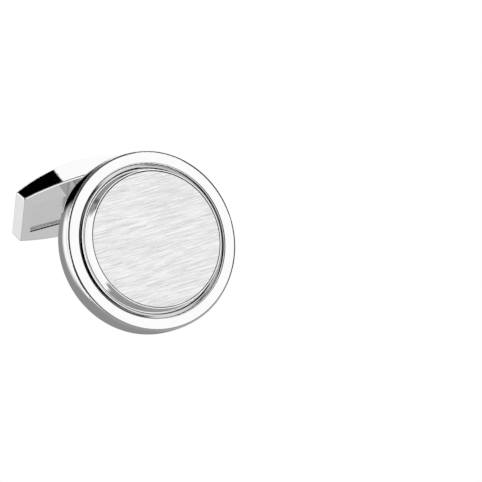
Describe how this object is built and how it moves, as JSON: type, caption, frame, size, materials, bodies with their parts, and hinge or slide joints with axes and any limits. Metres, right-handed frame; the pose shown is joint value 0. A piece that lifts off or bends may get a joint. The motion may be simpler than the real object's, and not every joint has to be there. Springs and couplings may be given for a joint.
{
  "type": "cufflink",
  "caption": "Round polished cufflink with a raised brushed face plate, a curved arm and a boat-shaped toggle that swivels on a pin to pass through the cuff.",
  "frame": {"origin": "centre of the head's back face, where the arm leaves it", "axes": "+X along the toggle bar, +Y out of the back of the head along the foot of the arm, +Z towards the side the arm bends to"},
  "size_m": [0.0172, 0.0174, 0.0185],
  "materials": {
    "polished_steel": "mirror polished",
    "brushed_plate": "straight fine brushed grain",
    "back_steel": "satin",
    "screw_steel": "machined",
    "spring_steel": "rolled strip",
    "pin_steel": "polished"
  },
  "bodies": {
    "head": {"case": "polished_steel", "collar": "polished_steel", "face_plate": "brushed_plate", "back_plate": "back_steel", "arm_screw": "screw_steel", "arm": "polished_steel"},
    "toggle": {"toggle_body": "polished_steel", "leaf_spring": "spring_steel", "pivot_pin": "pin_steel"}
  },
  "joints": [
    {"name": "toggle_swivel", "type": "hinge", "parent": "head", "child": "toggle", "pos_m": [0, 0.0088, 0.00486], "axis": [0, -0.7604, 0.6494], "range_deg": [-90, 90], "deforming": ["leaf_spring"]}
  ]
}
